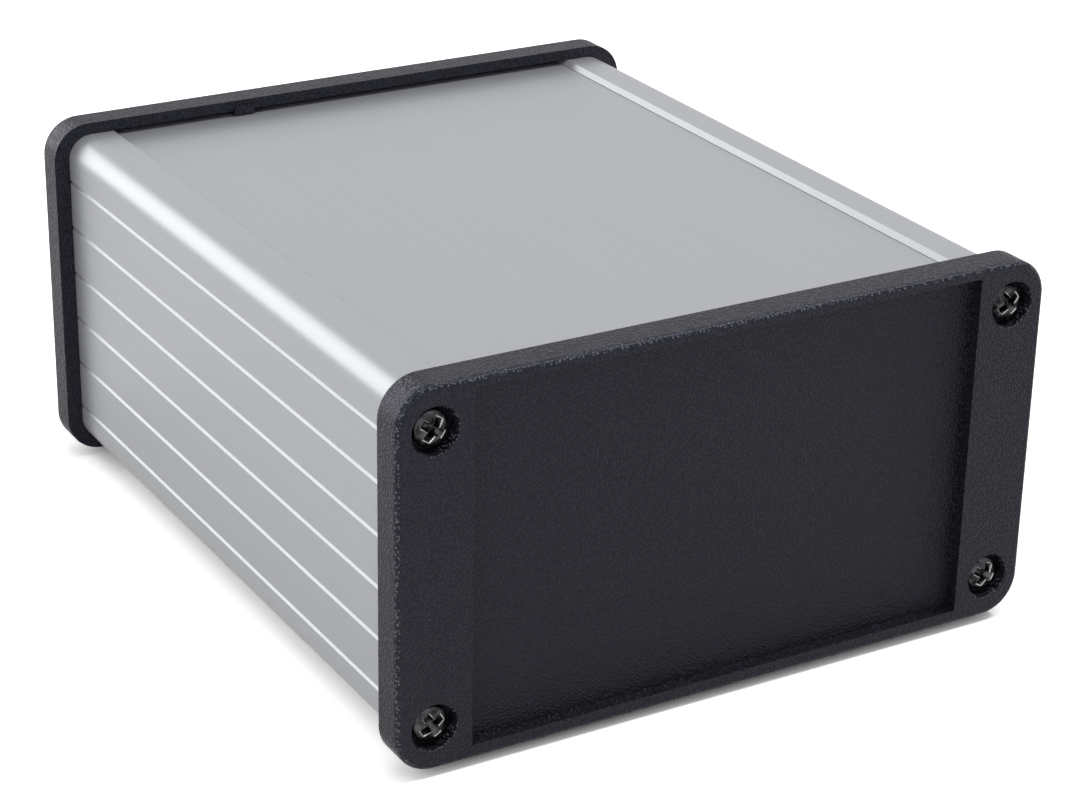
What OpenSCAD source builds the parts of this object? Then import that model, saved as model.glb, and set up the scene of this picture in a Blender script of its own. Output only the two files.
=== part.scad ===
// Instrument case: a grooved aluminium extrusion with a slide-in cover and moulded end panels.
// Millimetres. X is the width, the front end panel faces -Y, +Z is up, and the feet stand on Z = 0.

/* [Extrusion] */
// Length of the extrusion and its cover
body_l = 120; // [60:1:220]
// Width over the side walls
body_w = 103; // [90:1:160]
// Height from the floor's underside to the top of the rails
body_h = 54.5; // [45:0.5:90]
// Radius of the four long outer corners
corner_r = 4; // [2:0.5:5]
// Thickness of the side walls
side_wall = 1.4; // [1.2:0.1:2]
// Thickness of the floor
floor_wall = 1.8; // [1.4:0.1:2.5]

/* [Side grooves] */
// Height of the lowest groove above the extrusion's underside
groove_start = 6.5; // [6:0.1:9]
// Distance from one groove to the next
groove_pitch = 8.06; // [6:0.02:12]
// Plain wall left above the highest groove, at least
groove_clear_top = 7; // [6:0.5:12]
// Width of a groove at the surface
groove_w = 0.7; // [0.4:0.05:1.2]
// Depth of a groove
groove_d = 0.4; // [0.2:0.05:0.6]

/* [Slide cover] */
// Width of a rail's flat top
rail_w = 8; // [7.5:0.1:10]
// Drop from the rail's top to the cover, which the rail's edge slopes down at 45 degrees
rail_step = 0.8; // [0.4:0.1:1.2]
// Thickness of the cover plate
cover_t = 2; // [1.6:0.1:2.4]
// Thickness of the tongue along each side of the cover
tongue_t = 1; // [0.8:0.1:1.2]
// Reach of the tongue under the rail
tongue_l = 3.2; // [2:0.1:3.4]
// Thickness of the shelf that the tongue runs on
shelf_t = 1.2; // [1:0.1:1.6]
// Clearance beside the cover and over its tongues, which rest on the shelves
slide_gap = 0.15; // [0.1:0.05:0.25]

/* [Board slots] */
// Thickness of the circuit board that slides in
board_t = 1.6; // [1.2:0.1:2]
// Clearance on each face of the board
board_gap = 0.15; // [0.1:0.05:0.3]
// Thickness of the ribs that make a slot
rib_t = 1; // [0.8:0.1:1.4]
// How far the ribs stand in from the wall
rib_l = 2.1; // [1.5:0.1:3]

/* [Screws] */
// Screw axis in from the side face of the extrusion
screw_in_x = 3.35; // [3.2:0.05:4]
// Screw axis in from the top or bottom face of the extrusion
screw_in_z = 4.75; // [4.6:0.05:6]
// Diameter of the screw's shank
screw_d = 2.8; // [2.4:0.1:3]
// Length of the shank under the head
screw_l = 10; // [6:1:16]
// Diameter of the head
head_d = 5.5; // [5:0.1:6]
// Height of the head with its dome
head_h = 1.9; // [1.6:0.1:2.2]
// Height of the dome alone
dome_h = 0.8; // [0.5:0.1:1]
// Span of the cross recess
cross_l = 3.1; // [2.4:0.1:3.6]
// Width of one slot of the cross
cross_w = 0.8; // [0.6:0.05:1]
// Depth of the cross below the top of the dome
cross_d = 1.3; // [0.8:0.1:1.4]
// Radial clearance of the shank in its screw channel
screw_gap = 0.1; // [0.05:0.05:0.15]
// Wall round a screw channel
channel_wall = 1.3; // [1:0.1:1.5]
// Width of the slit along a screw channel
channel_slit = 1.5; // [1:0.1:1.8]

/* [End panels] */
// How far the rim stands out past each side of the extrusion
rim_x = 2.6; // [2:0.1:4]
// How far the rim stands out past the top and bottom of the extrusion
rim_z = 1.95; // [1.4:0.05:3]
// Corner radius of the rim
rim_r = 6; // [4:0.5:8]
// Rounding of the panel's outer edge
edge_r = 0.8; // [0.3:0.1:1.2]
// Thickness of the panel where the extrusion ends
panel_t = 3.2; // [3:0.1:4.5]
// Depth of the pocket that takes the end of the extrusion
pocket_d = 2.2; // [1.5:0.1:4]
// Clearance round the extrusion in the pocket, and round the plug inside it
fit_gap = 0.15; // [0.1:0.05:0.3]
// Width of the column that carries the screws, from the rim's side
column_w = 11.9; // [10.5:0.1:14]
// Depth of the field between the columns
field_d = 2; // [1:0.1:2.2]
// Lip above the field
lip_top = 1.6; // [1.2:0.1:4]
// Lip below the field
lip_bottom = 2.2; // [1.2:0.1:4]
// Depth of the plug that enters the extrusion behind the field
plug_d = 1; // [0.6:0.1:2]
// Diameter of the sink round each screw head
sink_d = 7; // [6.6:0.1:7.4]
// How far the top of a screw head lies below the panel's face
head_sink = 0.4; // [0.2:0.1:0.6]
// Bevel at the mouth of a sink
sink_bevel = 0.2; // [0.1:0.05:0.4]
// Radial clearance of the shank in the panel
hole_gap = 0.25; // [0.15:0.05:0.4]
// Width of the small lug that fills the gap above the cover
lug_w = 3.6; // [2:0.1:6]
// Distance of the lug from the middle of the panel
lug_x = 20; // [0:1:35]
// How far the lug stands out of the rim's inner edge
lug_proud = 0.3; // [0.1:0.1:1]

/* [Feet] */
// Diameter of a foot where it is stuck on
foot_d = 12; // [8:0.5:16]
// Diameter of a foot where it stands
foot_tip_d = 10.5; // [6:0.5:16]
// Height of a foot
foot_h = 3.2; // [3:0.1:6]
// Foot axis in from the side face of the extrusion
foot_in_x = 14; // [9:1:30]
// Foot axis in from the end of the extrusion
foot_in_y = 15; // [9:1:28]

/* [Hidden] */
$fn = 48;
// Extra length of a cut, so that it leaves no skin
over = 1;

// Heights in the extrusion's profile, from its underside
cover_top = body_h - rail_step;
cover_bottom = cover_top - cover_t;
slot_top = cover_bottom + tongue_t + slide_gap;
shelf_bottom = cover_bottom - shelf_t;

// Half widths in the extrusion's profile, from its middle
half_w = body_w / 2;
wall_in = half_w - side_wall;
rail_edge = half_w - rail_w;
nose_x = rail_edge - rail_step;
cover_x = nose_x - slide_gap;
tongue_x = cover_x + tongue_l;
slot_x = tongue_x + slide_gap;

groove_count = floor((body_h - groove_start - groove_clear_top) / groove_pitch) + 1;
board_slot = board_t + 2 * board_gap;

screw_x = half_w - screw_in_x;
channel_r = screw_d / 2 + screw_gap;
channel_block = channel_r + channel_wall;
screw_heights = [screw_in_z, body_h - screw_in_z];
seat_d = head_sink + head_h;

panel_w = body_w + 2 * rim_x;
panel_h = body_h + 2 * rim_z;
panel_depth = panel_t + pocket_d;
field_w = panel_w - 2 * column_w;

foot_x = half_w - foot_in_x;
foot_y = body_l / 2 - foot_in_y;

// Turn of each cross recess, as the screws were left
front_turns = [12, 25, 40, 30];
rear_turns = [20, 55, 5, 70];

// Flat shapes

module rounded_rect(w, h, r) {
    square([w - 2 * r, h], center = true);
    square([w, h - 2 * r], center = true);
    for (x = [-1, 1], z = [-1, 1])
        translate([x * (w / 2 - r), z * (h / 2 - r)]) circle(r);
}

// Outline of the extrusion with its underside on the X axis
module body_outline(gap = 0) {
    translate([0, body_h / 2])
        rounded_rect(body_w + 2 * gap, body_h + 2 * gap, corner_r + gap);
}

// One V groove in the right-hand face
module groove() {
    polygon([
        [half_w + groove_d, -groove_w],
        [half_w - groove_d, 0],
        [half_w + groove_d, groove_w]
    ]);
}

// Everything that is hollow between the walls, on the right-hand side
module hollow_half() {
    translate([0, floor_wall]) square([wall_in, shelf_bottom - floor_wall]);
    translate([0, floor_wall]) square([nose_x, body_h]);
    translate([0, cover_bottom]) square([slot_x, slot_top - cover_bottom]);
    polygon([
        [0, cover_top],
        [nose_x, cover_top],
        [rail_edge + over, body_h + over],
        [0, body_h + over]
    ]);
}

// Two ribs that hold a board by its edge, on the right-hand side
module board_ribs(z) {
    for (side = [-1, 1])
        translate([wall_in - rib_l, z + side * (board_slot + rib_t) / 2 - rib_t / 2])
            square([rib_l + side_wall / 2, rib_t]);
}

// Stock round a screw channel, run into the wall and into the floor or the shelf
module channel_stock(z) {
    translate([screw_x, z]) circle(channel_block);
    translate([screw_x - channel_block, z < body_h / 2 ? floor_wall / 2 : z])
        square([
            channel_block + screw_in_x - side_wall / 2,
            z < body_h / 2 ? z - floor_wall / 2 : cover_bottom - shelf_t / 2 - z
        ]);
}

// The channel itself, with its slit towards the middle of the wall
module channel_cut(z) {
    reach = channel_block + over;
    translate([screw_x, z]) circle(channel_r);
    translate([screw_x - channel_slit / 2, z < body_h / 2 ? z : z - reach])
        square([channel_slit, reach]);
}

// The walls, with what stands on their inner faces
module walls() {
    difference() {
        body_outline();
        for (side = [0, 1]) mirror([side, 0]) hollow_half();
    }
    intersection() {
        body_outline();
        for (side = [0, 1]) mirror([side, 0]) {
            for (z = screw_heights) channel_stock(z);
            for (i = [0:groove_count - 2])
                board_ribs(groove_start + (i + 0.5) * groove_pitch);
        }
    }
}

module body_profile() {
    difference() {
        walls();
        for (side = [0, 1]) mirror([side, 0]) {
            for (z = screw_heights) channel_cut(z);
            for (i = [0:groove_count - 1])
                translate([0, groove_start + i * groove_pitch]) groove();
        }
    }
}

module cover_profile() {
    translate([-cover_x, cover_bottom]) square([2 * cover_x, cover_t]);
    translate([-tongue_x, cover_bottom]) square([2 * tongue_x, tongue_t]);
}

// Placing

// Stands a flat shape up in X and Z and draws it out along +Y from y
module along_y(y, length) {
    translate([0, y + length, foot_h]) rotate([90, 0, 0]) linear_extrude(length) children();
}

// The four screw axes of one end
module at_screws() {
    for (i = [0:3])
        translate([(i % 2 == 0 ? -1 : 1) * screw_x, 0, foot_h + screw_heights[floor(i / 2)]]) {
            $screw = i;
            children();
        }
}

module turn_to_rear() {
    rotate([0, 0, 180]) children();
}

// Sub-parts

module body_extrusion() {
    color("#B4B6B8") along_y(-body_l / 2, body_l) body_profile();
}

module slide_cover() {
    color("#AFB1B3") along_y(-body_l / 2, body_l) cover_profile();
}

// A slab with rounded corners whose front edge is rounded too: discs in the corners and two beams.
// It lies on Z = 0 with the rounded edge up.
module soft_slab(w, h, r, t, edge) {
    for (x = [-1, 1], y = [-1, 1])
        translate([x * (w / 2 - r), y * (h / 2 - r), 0])
            rotate_extrude() {
                square([r, t - edge]);
                square([r - edge, t]);
                translate([r - edge, t - edge]) intersection() {
                    circle(edge);
                    square(edge);
                }
            }
    soft_beam(w, h - 2 * r, t, edge);
    rotate([0, 0, 90]) soft_beam(h, w - 2 * r, t, edge);
}

// A bar along Y whose two upper edges are rounded
module soft_beam(w, length, t, edge) {
    translate([0, length / 2, 0]) rotate([90, 0, 0]) linear_extrude(length) {
        translate([-w / 2, 0]) square([w, t - edge]);
        translate([edge - w / 2, 0]) square([w - 2 * edge, t]);
        for (side = [-1, 1]) translate([side * (w / 2 - edge), t - edge]) circle(edge);
    }
}

// The front end panel. Its face is at -Y, and the extrusion enters it from the other side.
module end_panel() {
    face_y = -body_l / 2 - panel_t;
    difference() {
        union() {
            difference() {
                translate([0, face_y + panel_depth, foot_h + body_h / 2])
                    rotate([90, 0, 0]) soft_slab(panel_w, panel_h, rim_r, panel_depth, edge_r);
                along_y(-body_l / 2, pocket_d + over) body_outline(fit_gap);
            }
            plug();
            lug();
        }
        field();
        at_screws() screw_sink(face_y);
    }
}

// The sunk field on the panel's face
module field() {
    translate([-field_w / 2, -body_l / 2 - panel_t - over, foot_h - rim_z + lip_bottom])
        cube([field_w, field_d + over, panel_h - lip_bottom - lip_top]);
}

// The low plug behind the field, which fits between the cover's shelves, the floor and the cover
module plug() {
    bottom = floor_wall + fit_gap;
    translate([fit_gap - nose_x, -body_l / 2 - over, foot_h + bottom])
        cube([2 * (nose_x - fit_gap), plug_d + over, cover_bottom - fit_gap - bottom]);
}

// The lug on the inside of the rim, above the cover
module lug() {
    bottom = cover_top + fit_gap;
    translate([lug_x - lug_w / 2, -body_l / 2 - panel_t / 2, foot_h + bottom])
        cube([lug_w, panel_t / 2 + pocket_d + lug_proud, body_h + rim_z / 2 - bottom]);
}

module screw_sink(face_y) {
    translate([0, face_y, 0]) rotate([-90, 0, 0]) {
        translate([0, 0, -over]) cylinder(d = screw_d + 2 * hole_gap, h = panel_depth + over);
        translate([0, 0, -over]) cylinder(d = sink_d, h = seat_d + over);
        cylinder(d1 = sink_d + 2 * sink_bevel, d2 = sink_d, h = sink_bevel);
    }
}

// One screw, its head at -Y and its seat on Y = 0
module screw(turn) {
    dome_r = (pow(head_d / 2, 2) + pow(dome_h, 2)) / (2 * dome_h);
    rotate([90, 0, 0]) {
        difference() {
            intersection() {
                cylinder(d = head_d, h = head_h);
                translate([0, 0, head_h - dome_r]) sphere(dome_r, $fn = 96);
            }
            rotate([0, 0, turn]) for (slot = [0, 90]) rotate([0, 0, slot])
                translate([-cross_l / 2, -cross_w / 2, head_h - cross_d])
                    cube([cross_l, cross_w, cross_d + over]);
        }
        translate([0, 0, -screw_l]) cylinder(d = screw_d, h = screw_l + head_h - cross_d);
    }
}

module screw_set(turns) {
    at_screws()
        translate([0, seat_d - body_l / 2 - panel_t, 0]) screw(turns[$screw]);
}

module front_end_panel() {
    color("#2C2D33") end_panel();
}

module rear_end_panel() {
    color("#2C2D33") turn_to_rear() end_panel();
}

module front_screws() {
    color("#17171A") screw_set(front_turns);
}

module rear_screws() {
    color("#17171A") turn_to_rear() screw_set(rear_turns);
}

// A stick-on foot under the floor, at the corner that the two signs give
module foot(side, end) {
    color("#202022") translate([side * foot_x, end * foot_y, 0])
        cylinder(d1 = foot_tip_d, d2 = foot_d, h = foot_h);
}

body_extrusion();
slide_cover();
front_end_panel();
rear_end_panel();
front_screws();
rear_screws();
foot(-1, -1);  // foot_front_left
foot(1, -1);  // foot_front_right
foot(-1, 1);  // foot_rear_left
foot(1, 1);  // foot_rear_right
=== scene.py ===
import math

import bmesh
import bpy
from mathutils import Matrix, Vector


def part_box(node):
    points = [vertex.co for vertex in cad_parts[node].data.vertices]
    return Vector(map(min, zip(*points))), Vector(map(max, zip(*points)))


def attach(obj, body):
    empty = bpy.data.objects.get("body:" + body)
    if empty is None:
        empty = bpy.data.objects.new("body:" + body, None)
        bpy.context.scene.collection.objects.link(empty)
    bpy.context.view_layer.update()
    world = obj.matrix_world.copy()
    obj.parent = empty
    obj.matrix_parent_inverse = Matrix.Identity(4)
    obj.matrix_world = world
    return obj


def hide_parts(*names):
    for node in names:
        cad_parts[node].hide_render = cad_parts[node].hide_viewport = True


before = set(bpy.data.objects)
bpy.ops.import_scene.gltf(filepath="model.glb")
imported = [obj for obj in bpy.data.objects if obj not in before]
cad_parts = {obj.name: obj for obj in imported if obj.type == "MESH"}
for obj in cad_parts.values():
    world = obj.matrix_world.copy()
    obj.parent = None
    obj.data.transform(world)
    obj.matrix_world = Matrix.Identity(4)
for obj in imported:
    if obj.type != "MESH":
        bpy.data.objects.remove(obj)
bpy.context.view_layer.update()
mm = 0.001
nearly = 1e-6              # metres, within which two points count as one
print("scene: frame loaded,", len(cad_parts), "nodes")


# Colours are written as sRGB hex, as a paint card gives them, and the shaders take linear light.
def linearColour(hexColour):
    channels = [int(hexColour[i:i + 2], 16) / 255 for i in (1, 3, 5)]
    return [c / 12.92 if c <= 0.04045 else ((c + 0.055) / 1.055) ** 2.4 for c in channels] + [1.0]


# Adds one node. An input that is given an output socket is linked to it, any other value is set on it.
def addNode(tree, kind, settings, inputs):
    node = tree.nodes.new(kind)
    for name, value in settings.items():
        setattr(node, name, value)
    for name, value in inputs.items():
        if isinstance(value, bpy.types.NodeSocket):
            tree.links.new(value, node.inputs[name])
        else:
            node.inputs[name].default_value = value
    return node


def newMaterial(name):
    material = bpy.data.materials.new(name)
    material.use_nodes = True
    material.node_tree.nodes.clear()
    return material


# Clear-anodised aluminium, extruded and then etched matt: a satin pale grey that shows the room as broad
# soft bands, with faint die lines along the extrusion and an even, very fine tooth from the etching.
aluminiumFinish = {
    "colour": "#B3B5B8",
    "lineColour": "#ABADB0",   # the die lines are a shade darker
    "metallic": 0.4,           # the etched oxide skin scatters the rest like paint
    "roughness": (0.32, 0.38),
    "toothSize": 0.35,         # mm; a real etched tooth is near 0.02 and would not show
    "toothHeight": 0.004,      # mm
    "lineSpacing": 0.5,        # mm across the extrusion
    "lineLength": 90,          # mm along it
}


def anodisedAluminium(finish):
    material = newMaterial("anodisedAluminium")
    tree = material.node_tree
    place = addNode(tree, "ShaderNodeTexCoord", {}, {}).outputs["Object"]
    across = 1 / (finish["lineSpacing"] * mm)
    along = 1 / (finish["lineLength"] * mm)
    stretched = addNode(tree, "ShaderNodeMapping", {}, {"Vector": place, "Scale": (across, along, across)})
    lines = addNode(tree, "ShaderNodeTexNoise", {}, {
        "Vector": stretched.outputs[0], "Scale": 1.0, "Detail": 3.0})
    tooth = addNode(tree, "ShaderNodeTexNoise", {}, {
        "Vector": place, "Scale": 1 / (finish["toothSize"] * mm), "Detail": 2.0})
    colour = addNode(tree, "ShaderNodeMix", {"data_type": "RGBA"}, {
        0: lines.outputs["Fac"], 6: linearColour(finish["lineColour"]), 7: linearColour(finish["colour"])})
    low, high = finish["roughness"]
    roughness = addNode(tree, "ShaderNodeMapRange", {}, {
        "Value": tooth.outputs["Fac"], "To Min": low, "To Max": high})
    bump = addNode(tree, "ShaderNodeBump", {}, {
        "Height": tooth.outputs["Fac"], "Strength": 1.0, "Distance": finish["toothHeight"] * mm})
    shader = addNode(tree, "ShaderNodeBsdfPrincipled", {}, {
        "Base Color": colour.outputs[2], "Metallic": finish["metallic"],
        "Roughness": roughness.outputs[0], "Normal": bump.outputs[0]})
    addNode(tree, "ShaderNodeOutputMaterial", {}, {"Surface": shader.outputs[0]})
    return material


# Moulded black ABS with a fine spark-eroded pebble grain from the mould: a deep blue-black whose grain
# breaks every highlight into sparkles along the rounded edges, helped by pale specks painted there as
# highlight.
absFinish = {
    "pitColour": "#111116",
    "topColour": "#232429",    # tops of the grain, rubbed a little paler
    "paintedSparkleColour": "#6C6D73",  # painted highlight: pale specks on the grain tops of the rounded edges, where the grain catches the light
    "edgeGloss": 0.12,         # taken off the roughness there
    "edgeFacing": (0.985, 0.92),  # how squarely a surface faces an axis: flat face, rounded edge
    "peakHeight": (0.3, 0.8),  # share of the grain's height at which the painted highlight specks start and are full
    "tint": "#DCE2FF",         # of the gloss seen straight on
    "roughness": (0.48, 0.20),  # in the pits and on the tops
    "ior": 1.5,
    "specularLevel": 0.35,     # the grain shades part of its own gloss
    "grainSize": 0.42,         # mm
    "grainHeight": 0.12,       # mm
    "grainReach": (0.6, 0.1),  # distance from a pebble's middle, in pebbles: at its foot, at its top
    "dustSize": 0.28,          # mm
    "dustHeight": 0.02,        # mm
}


def mouldedAbs(finish):
    material = newMaterial("mouldedAbs")
    tree = material.node_tree
    place = addNode(tree, "ShaderNodeTexCoord", {}, {}).outputs["Object"]
    grain = addNode(tree, "ShaderNodeTexVoronoi", {}, {
        "Vector": place, "Scale": 1 / (finish["grainSize"] * mm)})
    dust = addNode(tree, "ShaderNodeTexNoise", {}, {
        "Vector": place, "Scale": 1 / (finish["dustSize"] * mm), "Detail": 1.0})
    foot, crown = finish["grainReach"]
    tops = addNode(tree, "ShaderNodeMapRange", {}, {
        "Value": grain.outputs["Distance"], "From Min": foot, "From Max": crown})
    colour = addNode(tree, "ShaderNodeMix", {"data_type": "RGBA"}, {
        0: tops.outputs[0], 6: linearColour(finish["pitColour"]), 7: linearColour(finish["topColour"])})
    # A rounded edge is where the surface faces none of the three axes squarely
    facing = addNode(tree, "ShaderNodeNewGeometry", {}, {}).outputs["Normal"]
    shares = addNode(tree, "ShaderNodeVectorMath", {"operation": "ABSOLUTE"}, {0: facing})
    share = addNode(tree, "ShaderNodeSeparateXYZ", {}, {0: shares.outputs[0]})
    wider = addNode(tree, "ShaderNodeMath", {"operation": "MAXIMUM"}, {
        0: share.outputs[0], 1: share.outputs[1]})
    widest = addNode(tree, "ShaderNodeMath", {"operation": "MAXIMUM"}, {
        0: wider.outputs[0], 1: share.outputs[2]})
    flat, rounded = finish["edgeFacing"]
    edge = addNode(tree, "ShaderNodeMapRange", {}, {
        "Value": widest.outputs[0], "From Min": flat, "From Max": rounded})
    # Painted highlight: pale specks on the grain tops along the rounded edges, standing in for the grain
    # catching the light
    start, full = finish["peakHeight"]
    peaks = addNode(tree, "ShaderNodeMapRange", {}, {
        "Value": tops.outputs[0], "From Min": start, "From Max": full})
    paintedSparkles = addNode(tree, "ShaderNodeMath", {"operation": "MULTIPLY"}, {
        0: peaks.outputs[0], 1: edge.outputs[0]})
    paintedSparkleMix = addNode(tree, "ShaderNodeMix", {"data_type": "RGBA"}, {
        0: paintedSparkles.outputs[0], 6: colour.outputs[2], 7: linearColour(finish["paintedSparkleColour"])})
    pits, crests = finish["roughness"]
    grained = addNode(tree, "ShaderNodeMapRange", {}, {
        "Value": tops.outputs[0], "To Min": pits, "To Max": crests})
    roughness = addNode(tree, "ShaderNodeMath", {"operation": "MULTIPLY_ADD"}, {
        0: edge.outputs[0], 1: -finish["edgeGloss"], 2: grained.outputs[0]})
    fine = addNode(tree, "ShaderNodeBump", {}, {
        "Height": dust.outputs["Fac"], "Strength": 1.0, "Distance": finish["dustHeight"] * mm})
    bump = addNode(tree, "ShaderNodeBump", {}, {
        "Height": tops.outputs[0], "Strength": 1.0, "Distance": finish["grainHeight"] * mm,
        "Normal": fine.outputs[0]})
    shader = addNode(tree, "ShaderNodeBsdfPrincipled", {}, {
        "Base Color": paintedSparkleMix.outputs[2], "Roughness": roughness.outputs[0], "IOR": finish["ior"],
        "Specular IOR Level": finish["specularLevel"], "Specular Tint": linearColour(finish["tint"]),
        "Normal": bump.outputs[0]})
    addNode(tree, "ShaderNodeOutputMaterial", {}, {"Surface": shader.outputs[0]})
    return material


# Black-oxide steel: a thin dark skin over bright steel, so it glints sharply at edges and stays black in
# its hollows.
steelFinish = {
    "oxide": {"colour": "#101113", "smearColour": "#5A5C5D", "roughness": (0.22, 0.36)},
    "worn": {"colour": "#8E8D8C", "smearColour": "#D2D0CB", "roughness": (0.16, 0.28)},
    "metallic": 1.0,
    "smearSize": 1.3,          # mm
    "smearReach": (0.35, 0.65),  # of the noise, between bare skin and full smear
}


def blackOxideSteel(finish, part):
    material = newMaterial(f"{part}Steel")
    tree = material.node_tree
    place = addNode(tree, "ShaderNodeTexCoord", {}, {}).outputs["Object"]
    smear = addNode(tree, "ShaderNodeTexNoise", {}, {
        "Vector": place, "Scale": 1 / (finish["smearSize"] * mm), "Detail": 4.0})
    bare, full = finish["smearReach"]
    spread = addNode(tree, "ShaderNodeMapRange", {}, {
        "Value": smear.outputs["Fac"], "From Min": bare, "From Max": full})
    colour = addNode(tree, "ShaderNodeMix", {"data_type": "RGBA"}, {
        0: spread.outputs[0], 6: linearColour(finish[part]["colour"]),
        7: linearColour(finish[part]["smearColour"])})
    low, high = finish[part]["roughness"]
    roughness = addNode(tree, "ShaderNodeMapRange", {}, {
        "Value": smear.outputs["Fac"], "To Min": low, "To Max": high})
    shader = addNode(tree, "ShaderNodeBsdfPrincipled", {}, {
        "Base Color": colour.outputs[2], "Metallic": finish["metallic"], "Roughness": roughness.outputs[0]})
    addNode(tree, "ShaderNodeOutputMaterial", {}, {"Surface": shader.outputs[0]})
    return material


# Moulded rubber: a dull charcoal with a soft bloom and no clear reflection.
rubberFinish = {
    "colour": "#1B1B1D",
    "bloomColour": "#29292B",
    "roughness": (0.68, 0.82),
    "ior": 1.52,
    "bloomSize": 2.5,          # mm
    "skinSize": 0.3,           # mm
    "skinHeight": 0.01,        # mm
}


def mouldedRubber(finish):
    material = newMaterial("mouldedRubber")
    tree = material.node_tree
    place = addNode(tree, "ShaderNodeTexCoord", {}, {}).outputs["Object"]
    bloom = addNode(tree, "ShaderNodeTexNoise", {}, {
        "Vector": place, "Scale": 1 / (finish["bloomSize"] * mm), "Detail": 3.0})
    skin = addNode(tree, "ShaderNodeTexNoise", {}, {
        "Vector": place, "Scale": 1 / (finish["skinSize"] * mm), "Detail": 1.0})
    colour = addNode(tree, "ShaderNodeMix", {"data_type": "RGBA"}, {
        0: bloom.outputs["Fac"], 6: linearColour(finish["colour"]), 7: linearColour(finish["bloomColour"])})
    low, high = finish["roughness"]
    roughness = addNode(tree, "ShaderNodeMapRange", {}, {
        "Value": bloom.outputs["Fac"], "To Min": low, "To Max": high})
    bump = addNode(tree, "ShaderNodeBump", {}, {
        "Height": skin.outputs["Fac"], "Strength": 1.0, "Distance": finish["skinHeight"] * mm})
    shader = addNode(tree, "ShaderNodeBsdfPrincipled", {}, {
        "Base Color": colour.outputs[2], "Roughness": roughness.outputs[0], "IOR": finish["ior"],
        "Normal": bump.outputs[0]})
    addNode(tree, "ShaderNodeOutputMaterial", {}, {"Surface": shader.outputs[0]})
    return material


aluminium = anodisedAluminium(aluminiumFinish)
blackAbs = mouldedAbs(absFinish)
oxideSteel = blackOxideSteel(steelFinish, "oxide")
wornSteel = blackOxideSteel(steelFinish, "worn")
footRubber = mouldedRubber(rubberFinish)
print("scene: materials made")


def makePiece(name, work, materials, node, sharpAngle=35):
    mesh = bpy.data.meshes.new(name)
    work.to_mesh(mesh)
    work.free()
    for material in materials:
        mesh.materials.append(material)
    mesh.shade_smooth()
    mesh.set_sharp_from_angle(angle=math.radians(sharpAngle))
    piece = bpy.data.objects.new(name, mesh)
    bpy.context.scene.collection.objects.link(piece)
    weighted = piece.modifiers.new("weightedNormals", "WEIGHTED_NORMAL")
    weighted.keep_sharp = True
    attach(piece, "root")
    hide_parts(node)


def weldedNode(node):
    work = bmesh.new()
    work.from_mesh(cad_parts[node].data)
    bmesh.ops.remove_doubles(work, verts=work.verts, dist=nearly)
    return work


# The outline of an extruded node as (x, z) points in order, read off its front end.
def endOutline(node):
    work = weldedNode(node)
    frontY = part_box(node)[0].y
    neighbours = {}
    for edge in work.edges:
        ends = [v for v in edge.verts if abs(v.co.y - frontY) < nearly]
        caps = [f for f in edge.link_faces if abs(f.normal.y) > 0.9]
        if len(ends) == 2 and len(caps) == 1:
            for a, b in (ends, ends[::-1]):
                neighbours.setdefault(a, []).append(b)
    start = min(neighbours, key=lambda v: (v.co.z, v.co.x))
    outline = [start]
    following = neighbours[start][0]
    while following is not start:
        outline.append(following)
        a, b = neighbours[following]
        following = b if a is outline[-2] else a
    points = [Vector((v.co.x, v.co.z)) for v in outline]
    work.free()
    return points


# Rounds the corners of an outline by their own radii. A corner with no radius stays as it is, and none
# takes more than its share of the lines beside it.
def easeOutline(points, radii, steps, lineShare=0.45):
    eased = []
    for i, (corner, radius) in enumerate(zip(points, radii)):
        if not radius:
            eased.append(corner)
            continue
        towards = points[i - 1] - corner
        onward = points[(i + 1) % len(points)] - corner
        opening = towards.angle(onward)
        reach = min(radius / math.tan(opening / 2), lineShare * towards.length, lineShare * onward.length)
        first = corner + towards.normalized() * reach
        last = corner + onward.normalized() * reach
        for step in range(steps + 1):
            t = step / steps
            eased.append((1 - t) ** 2 * first + 2 * t * (1 - t) * corner + t * t * last)
    return eased


# One radius for every sharp corner, and none for the small steps of an arc.
def sharpCorners(points, radius, sharpTurn=math.radians(20)):
    radii = []
    for i, corner in enumerate(points):
        opening = (points[i - 1] - corner).angle(points[(i + 1) % len(points)] - corner)
        radii.append(radius if math.pi - opening > sharpTurn else 0)
    return radii


extrusionShape = {
    "edgeRadius": 0.12,        # mm, left by the etching on every edge of the profile
    "edgeSteps": 4,
}


# Eases the outline of an extruded node and draws it out along Y between the node's own ends.
def drawExtrusion(node, shape):
    low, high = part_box(node)
    outline = endOutline(node)
    outline = easeOutline(outline, sharpCorners(outline, shape["edgeRadius"] * mm), shape["edgeSteps"])
    work = bmesh.new()
    rings = []
    for y in (low.y, high.y):
        rings.append([work.verts.new((p.x, y, p.y)) for p in outline])
    front, back = rings
    for i in range(len(outline)):
        work.faces.new((front[i - 1], front[i], back[i], back[i - 1]))
    caps = [work.faces.new(front), work.faces.new(back[::-1])]
    bmesh.ops.triangulate(work, faces=caps)
    bmesh.ops.recalc_face_normals(work, faces=work.faces)
    return work


for node, name in (("body_extrusion", "bodyExtrusion"), ("slide_cover", "slideCover")):
    makePiece(name, drawExtrusion(node, extrusionShape), [aluminium], node)
print("scene: extrusion and cover drawn")


panelShape = {
    "edgeRadius": 0.22,        # mm, on every sharp edge of the moulding
    "edgeSteps": 3,
    "sharpEdge": 50,           # degrees; flatter edges belong to the moulding's own curves
    "flatEdge": 0.5,           # degrees; faces that meet flatter than this are one face
}


def easeMoulding(node, shape):
    work = weldedNode(node)
    bmesh.ops.dissolve_limit(work, angle_limit=math.radians(shape["flatEdge"]),
                             verts=work.verts, edges=work.edges)
    sharp = [e for e in work.edges if e.calc_face_angle(0) > math.radians(shape["sharpEdge"])]
    bmesh.ops.bevel(work, geom=sharp, offset=shape["edgeRadius"] * mm, segments=shape["edgeSteps"],
                    profile=0.5, affect="EDGES", clamp_overlap=True)
    return work


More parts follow.
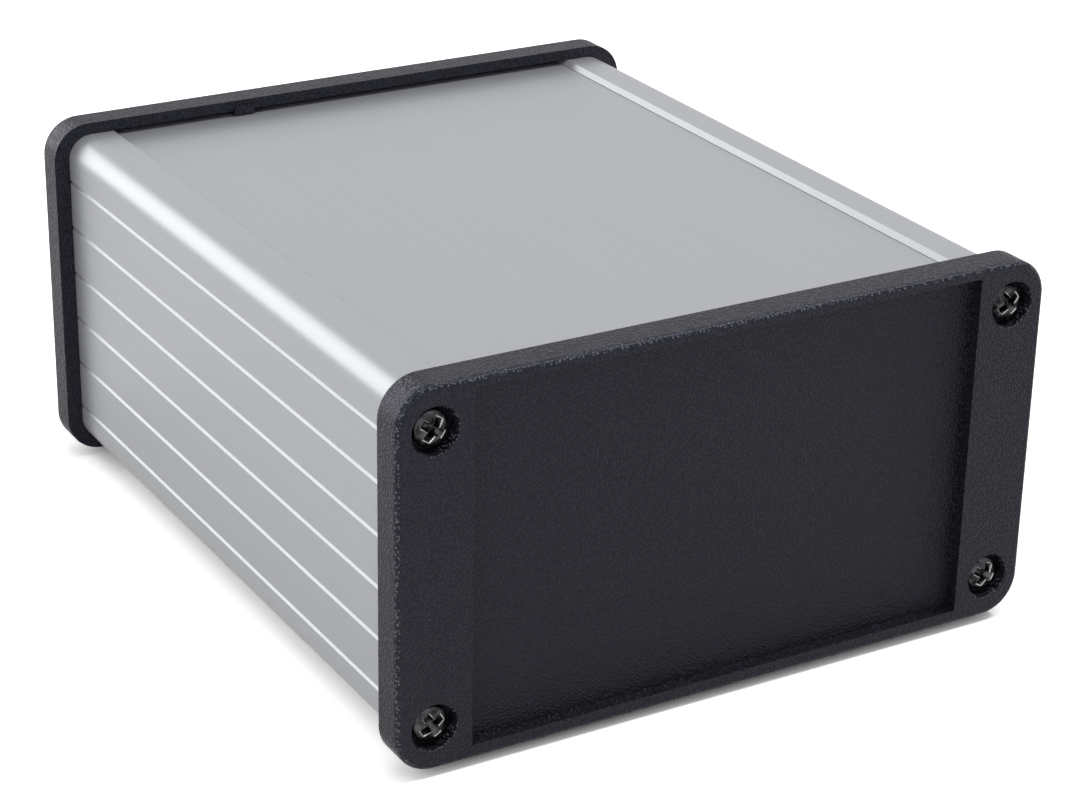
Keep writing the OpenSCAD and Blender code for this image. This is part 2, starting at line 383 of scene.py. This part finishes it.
for node, name in (("front_end_panel", "frontEndPanel"), ("rear_end_panel", "rearEndPanel")):
    makePiece(name, easeMoulding(node, panelShape), [blackAbs], node)
print("scene: end panels eased")


# Turns a profile of (radius, height) points round the Z axis. thread(angle, height) may widen it.
def turnProfile(profile, segments, thread=None):
    work = bmesh.new()
    rings = []
    for radius, height in profile:
        if radius == 0:
            rings.append([work.verts.new((0, 0, height))] * segments)
            continue
        ring = []
        for i in range(segments):
            angle = math.tau * i / segments
            wide = radius + (thread(angle, height) if thread else 0)
            ring.append(work.verts.new((wide * math.cos(angle), wide * math.sin(angle), height)))
        rings.append(ring)
    for lower, upper in zip(rings, rings[1:]):
        for i in range(segments):
            corners = [lower[i - 1], lower[i], upper[i], upper[i - 1]]
            work.faces.new(dict.fromkeys(corners))
    return work


# Millimetres, with the seat of the head at height 0 and the head above it
screwShape = {
    "headDiameter": 5.5,
    "headHeight": 1.9,
    "domeHeight": 0.8,
    "headEdge": 0.3,           # rounding where the head's side meets its dome
    "rootDiameter": 2.1,
    "crestDiameter": 2.8,
    "threadPitch": 1.1,
    "threadFlank": 0.3,        # share of the pitch that one flank takes
    "neck": 0.5,               # plain length under the head
    "length": 10,
    "tipLength": 1.8,
    "tipBlunt": (0.35, 0.05),  # radius as a share of the root's, and height, of the very tip
    "tipStart": 0.5,           # share of the root's radius from which the tip widens
    "neckRounding": 0.15,
    "seatRounding": 0.1,
    "domeShare": 0.8,          # of the head's radius, inside which the dome has its own rows
    "crossSpan": (3.6, 2.0),   # of the recess, at its mouth and at its bottom
    "crossWidth": (1.1, 0.65),
    "crossDepth": 1.3,
    "crossPoint": 0.2,         # depth of the point under its bottom
    "crossEdge": 0.1,          # depth of the worn edge round its mouth
    "crossFlare": 4,           # widening of that edge for its depth
    "cutterRise": 1,           # height of the cutter above the dome
    "segments": 48,
    "domeRows": 10,
    "roundSteps": 4,
    "rowsInPitch": 9,
}
# Turn of each cross in degrees, as the screws were left: lower left, lower right, upper left, upper right
crossTurns = {"front_screws": (30, 62, 57, 38), "rear_screws": (20, 55, 5, 70)}


def domeAt(screw, radius):
    head = screw["headDiameter"] / 2
    domeRadius = (head ** 2 + screw["domeHeight"] ** 2) / (2 * screw["domeHeight"])
    return screw["headHeight"] - domeRadius + math.sqrt(domeRadius ** 2 - radius ** 2)


def screwProfile(screw):
    root, head = screw["rootDiameter"] / 2, screw["headDiameter"] / 2
    tip, neck = -screw["length"], -screw["neck"]
    bluntShare, bluntHeight = screw["tipBlunt"]
    profile = [(0, tip), (bluntShare * root, tip + bluntHeight)]
    rows = round((neck - tip) / screw["threadPitch"] * screw["rowsInPitch"])
    for row in range(1, rows + 1):
        height = tip + (neck - tip) * row / rows
        widening = (1 - screw["tipStart"]) * (height - tip) / screw["tipLength"]
        profile.append((root * min(1, screw["tipStart"] + widening), height))
    shoulder = screw["domeShare"] * head
    edge = [Vector(p) for p in ((root, neck), (root, 0), (head, 0), (head, domeAt(screw, head)),
                                (shoulder, domeAt(screw, shoulder)))]
    roundings = (0, screw["neckRounding"], screw["seatRounding"], screw["headEdge"], 0)
    eased = easeOutline(edge, roundings, screw["roundSteps"])
    profile += [tuple(p) for p in eased[1:]]
    for row in range(1, screw["domeRows"]):
        radius = shoulder * (1 - row / screw["domeRows"])
        profile.append((radius, domeAt(screw, radius)))
    profile.append((0, screw["headHeight"]))
    return profile


def screwThread(screw):
    tall = (screw["crestDiameter"] - screw["rootDiameter"]) / 2

    def thread(angle, height):
        turns = height / screw["threadPitch"] - angle / math.tau
        ridge = max(0, 1 - abs(turns % 1 - 0.5) / screw["threadFlank"])
        tipFade = min(1, (height + screw["length"]) / screw["tipLength"])
        neckFade = min(1, max(0, (-screw["neck"] - height) / screw["threadPitch"]))
        return tall * ridge * tipFade * neckFade

    return thread


# The cutter for a cross recess: it narrows to its bottom, with a point under that. Its mouth flares where
# it meets the dome, and the flare carries the second material, because a driver rubs that edge bright.
def crossCutter(screw):
    cutter = bmesh.new()
    bottom = screw["headHeight"] - screw["crossDepth"]
    edge = screw["crossEdge"]
    mouth, floorSpan = screw["crossSpan"]
    mouthWidth, floorWidth = screw["crossWidth"]
    flare = screw["crossFlare"] * edge
    sections = (
        (floorSpan, floorWidth, None),
        (mouth, mouthWidth, -edge),
        (mouth + flare, mouthWidth + flare, edge),
        (mouth + flare, mouthWidth + flare, screw["cutterRise"]),
    )
    levels = []
    for span, width, rise in sections:
        ring = []
        for quarter in range(4):
            turn = Matrix.Rotation(math.radians(90 * quarter), 3, "Z")
            for x, y in ((width / 2, -width / 2), (span / 2, -width / 2), (span / 2, width / 2)):
                height = bottom if rise is None else domeAt(screw, math.hypot(x, y)) + rise
                ring.append(cutter.verts.new(turn @ Vector((x, y, height))))
        levels.append(ring)
    point = cutter.verts.new((0, 0, bottom - screw["crossPoint"]))
    for level, (lower, upper) in enumerate(zip(levels, levels[1:])):
        for i in range(len(lower)):
            face = cutter.faces.new((lower[i - 1], lower[i], upper[i], upper[i - 1]))
            face.material_index = 1 if level == 1 else 0   # 1 is the flare
    for i in range(len(levels[0])):
        cutter.faces.new((levels[0][i], levels[0][i - 1], point))
    cutter.faces.new(levels[-1])
    bmesh.ops.recalc_face_normals(cutter, faces=cutter.faces)
    bmesh.ops.triangulate(cutter, faces=cutter.faces)
    return cutter


def temporaryObject(name, work):
    mesh = bpy.data.meshes.new(name)
    work.to_mesh(mesh)
    work.free()
    holder = bpy.data.objects.new(name, mesh)
    bpy.context.scene.collection.objects.link(holder)
    return holder


def screwMesh(screw):
    turned = turnProfile(screwProfile(screw), screw["segments"], screwThread(screw))
    blank = temporaryObject("screwBlank", turned)
    cutter = temporaryObject("crossCutter", crossCutter(screw))
    cut = blank.modifiers.new("cross", "BOOLEAN")
    cut.object = cutter
    cut.operation = "DIFFERENCE"
    cut.solver = "EXACT"
    depsgraph = bpy.context.evaluated_depsgraph_get()
    mesh = bpy.data.meshes.new_from_object(blank.evaluated_get(depsgraph))
    for holder in (blank, cutter):
        bpy.data.objects.remove(holder)
    return mesh


# Four screws as one piece, on the axes that the CAD node's box gives, with their heads facing out.
def setScrews(node, mesh, screw):
    low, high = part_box(node)
    inset = screw["headDiameter"] / 2 * mm
    front = node == "front_screws"
    work = bmesh.new()
    for i, turn in enumerate(crossTurns[node]):
        right, upper = i % 2 == 1, i >= 2
        if not front:
            right = not right
        x = high.x - inset if right else low.x + inset
        z = high.z - inset if upper else low.z + inset
        headTop = low.y if front else high.y
        facing = 0 if front else math.pi
        before = len(work.verts)
        work.from_mesh(mesh)
        work.verts.ensure_lookup_table()
        placing = (
            Matrix.Translation((x, headTop, z))
            @ Matrix.Rotation(facing, 4, "Z")
            @ Matrix.Rotation(math.radians(90), 4, "X")
            @ Matrix.Rotation(math.radians(turn), 4, "Z")
            @ Matrix.Scale(mm, 4)
            @ Matrix.Translation((0, 0, -screw["headHeight"]))
        )
        bmesh.ops.transform(work, matrix=placing, verts=work.verts[before:])
    return work


oneScrew = screwMesh(screwShape)
for node, name in (("front_screws", "frontScrews"), ("rear_screws", "rearScrews")):
    makePiece(name, setScrews(node, oneScrew, screwShape), [oxideSteel, wornSteel], node)
print("scene: screws turned and set")


# A stick-on foot: a tapered rubber button with a dimple in its sole, on a thin adhesive pad. Millimetres,
# and each point is (radius, height, rounding).
footShape = {
    "profile": ((0, 0.3, 0), (2.0, 0.3, 0.2), (2.5, 0, 0.15), (5.25, 0, 0.7), (6.0, 2.85, 0.15),
                (5.7, 2.95, 0.05), (5.7, 3.2, 0), (0, 3.2, 0)),
    "segments": 64,
    "roundSteps": 5,
}


def footMesh(node, foot):
    low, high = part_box(node)
    points = [Vector((r, z)) for r, z, rounding in foot["profile"]]
    eased = easeOutline(points, [rounding for r, z, rounding in foot["profile"]], foot["roundSteps"])
    work = turnProfile([tuple(p) for p in eased], foot["segments"])
    middle = Vector(((low.x + high.x) / 2, (low.y + high.y) / 2, low.z))
    bmesh.ops.transform(work, matrix=Matrix.Translation(middle) @ Matrix.Scale(mm, 4), verts=work.verts)
    return work


for end in ("Front", "Rear"):
    for side in ("Left", "Right"):
        node = f"foot_{end.lower()}_{side.lower()}"
        makePiece(f"foot{end}{side}", footMesh(node, footShape), [footRubber], node)
print("scene: feet turned")


# Matt white paper. "again" is how much of its own colour is added over it: all of it for the camera, which
# runs the floor out to plain white but for the darkest shadow, and a little of it in reflections.
floorPaper = {"colour": "#F7F6F4", "halfSize": 4.0, "again": {"camera": 1.0, "mirror": 0.15}}


def whitePaper(paper):
    material = newMaterial("whitePaper")
    tree = material.node_tree
    rays = addNode(tree, "ShaderNodeLightPath", {}, {})
    camera = addNode(tree, "ShaderNodeMath", {"operation": "MULTIPLY"}, {
        0: rays.outputs["Is Camera Ray"], 1: paper["again"]["camera"]})
    mirror = addNode(tree, "ShaderNodeMath", {"operation": "MAXIMUM"}, {
        0: rays.outputs["Is Glossy Ray"], 1: rays.outputs["Is Transmission Ray"]})
    again = addNode(tree, "ShaderNodeMath", {"operation": "MULTIPLY_ADD"}, {
        0: mirror.outputs[0], 1: paper["again"]["mirror"], 2: camera.outputs[0]})
    second = addNode(tree, "ShaderNodeMix", {"data_type": "RGBA"}, {
        0: again.outputs[0], 6: (0, 0, 0, 1), 7: linearColour(paper["colour"])})
    plain = addNode(tree, "ShaderNodeBsdfDiffuse", {}, {"Color": linearColour(paper["colour"])})
    extra = addNode(tree, "ShaderNodeBsdfDiffuse", {}, {"Color": second.outputs[2]})
    both = addNode(tree, "ShaderNodeAddShader", {}, {0: plain.outputs[0], 1: extra.outputs[0]})
    addNode(tree, "ShaderNodeOutputMaterial", {}, {"Surface": both.outputs[0]})
    return material


floorMesh = bpy.data.meshes.new("floorPaper")
half = floorPaper["halfSize"]
floorCorners = [(-half, -half, 0), (half, -half, 0), (half, half, 0), (-half, half, 0)]
floorMesh.from_pydata(floorCorners, [], [(0, 1, 2, 3)])
floorMesh.materials.append(whitePaper(floorPaper))
floor = bpy.data.objects.new("floorPaper", floorMesh)
bpy.context.scene.collection.objects.link(floor)

# A pale room: "level" is the light it gives to surfaces, and it is seen and mirrored at 1
roomLight = {"colour": "#F5F5F7", "level": 0.42}


def lightRoom(room):
    world = bpy.data.worlds.new("paleRoom")
    world.use_nodes = True
    tree = world.node_tree
    tree.nodes.clear()
    rays = addNode(tree, "ShaderNodeLightPath", {}, {})
    seen = addNode(tree, "ShaderNodeMath", {"operation": "MAXIMUM"}, {
        0: rays.outputs["Is Camera Ray"], 1: rays.outputs["Is Glossy Ray"]})
    seenToo = addNode(tree, "ShaderNodeMath", {"operation": "MAXIMUM"}, {
        0: seen.outputs[0], 1: rays.outputs["Is Transmission Ray"]})
    strength = addNode(tree, "ShaderNodeMapRange", {}, {
        "Value": seenToo.outputs[0], "To Min": room["level"], "To Max": 1.0})
    background = addNode(tree, "ShaderNodeBackground", {}, {
        "Color": linearColour(room["colour"]), "Strength": strength.outputs[0]})
    addNode(tree, "ShaderNodeOutputWorld", {}, {"Surface": background.outputs[0]})
    bpy.context.scene.world = world


lightRoom(roomLight)

# Soft boxes round the object: place and size in metres, brightness as seen in a mirror
softBoxes = {
    "rearLeftBox": {
        "towards": (-0.50, 0.81, 0.30), "distance": 1.5, "size": (1.0, 1.25), "brightness": 2.7},
    "overheadBox": {
        "towards": (0.0, -0.12, 1.0), "distance": 1.5, "size": (1.7, 0.45), "brightness": 2.3},
    "keyBox": {
        "towards": (0.50, -0.20, 0.84), "distance": 1.5, "size": (0.22, 0.22), "brightness": 34.0},
    "leftFrontBox": {
        "towards": (-0.85, -0.50, 0.35), "distance": 0.8, "size": (0.35, 0.35), "brightness": 2.3},
}
middle = Vector((0, 0, 0.03))  # of the case, where every box points
for name, box in softBoxes.items():
    width, height = box["size"]
    lamp = bpy.data.lights.new(name, "AREA")
    lamp.shape = "RECTANGLE"
    lamp.size, lamp.size_y = width, height
    lamp.energy = box["brightness"] * math.pi * width * height
    holder = bpy.data.objects.new(name, lamp)
    towards = Vector(box["towards"]).normalized()
    holder.location = middle + towards * box["distance"]
    holder.rotation_euler = towards.to_track_quat("Z", "Y").to_euler()
    holder.visible_camera = False
    bpy.context.scene.collection.objects.link(holder)

cameraPlace = {
    "place": (-211.05, -365.96, 210.13),   # mm
    "azimuth": 30.56,          # degrees from +Y towards +X
    "down": 24.01,
    "roll": 1.12,
    "lens": 95.55,             # mm
    "sensor": 36,              # mm
}
camera = bpy.data.objects.new("camera", bpy.data.cameras.new("camera"))
camera.data.lens = cameraPlace["lens"]
camera.data.sensor_width = cameraPlace["sensor"]
camera.matrix_world = (
    Matrix.Translation(Vector(cameraPlace["place"]) * mm)
    @ Matrix.Rotation(math.radians(-cameraPlace["azimuth"]), 4, "Z")
    @ Matrix.Rotation(math.radians(90 - cameraPlace["down"]), 4, "X")
    @ Matrix.Rotation(math.radians(cameraPlace["roll"]), 4, "Z")
)
bpy.context.scene.collection.objects.link(camera)
bpy.context.scene.camera = camera
bpy.context.scene.view_settings.view_transform = "Standard"
print("scene: floor, light and camera set")
